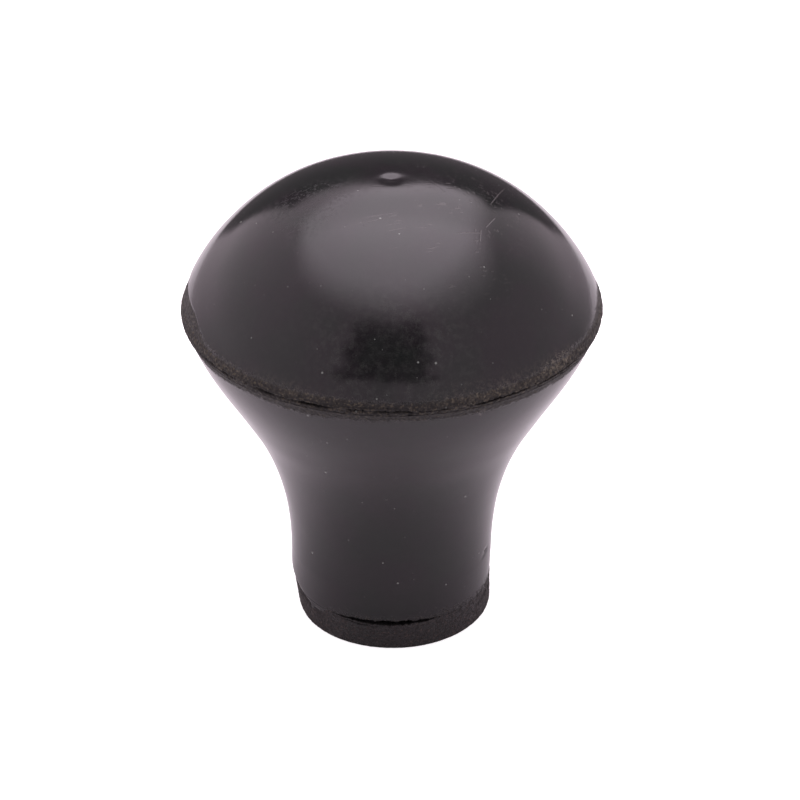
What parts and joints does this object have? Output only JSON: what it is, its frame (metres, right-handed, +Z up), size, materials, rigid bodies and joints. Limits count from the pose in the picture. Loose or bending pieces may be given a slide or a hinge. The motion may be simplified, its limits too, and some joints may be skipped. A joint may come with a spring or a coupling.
{
  "type": "dust blower bulb",
  "caption": "Mushroom-shaped hollow rubber bulb, squeezed between thumb and fingers to blow dust off small parts through a mouth in its foot.",
  "frame": {"origin": "centre of the foot's underside, on the axis of the bulb", "axes": "+Z up along the bulb's axis of symmetry, from the mouth in the foot to the crown of the dome; the bulb is round, so X and Y only have to be square to it"},
  "size_m": [0.05, 0.05, 0.058],
  "materials": {
    "black_rubber": "satin gloss, as moulded",
    "ground_rubber": "rough, ground and dusty",
    "brass": "turned and dulled"
  },
  "bodies": {
    "bulb": {"neck_shell": "black_rubber", "rim_seam": "ground_rubber", "foot_disc": "ground_rubber", "mouth_ferrule": "brass"},
    "dome": {"dome_shell": "black_rubber"}
  },
  "joints": [
    {"name": "dome_press", "type": "slide", "parent": "bulb", "child": "dome", "axis": [0, 0, -1], "range_m": [0, 0.009], "stiffness_N_per_m": 800, "deforming": ["dome_shell"]}
  ]
}
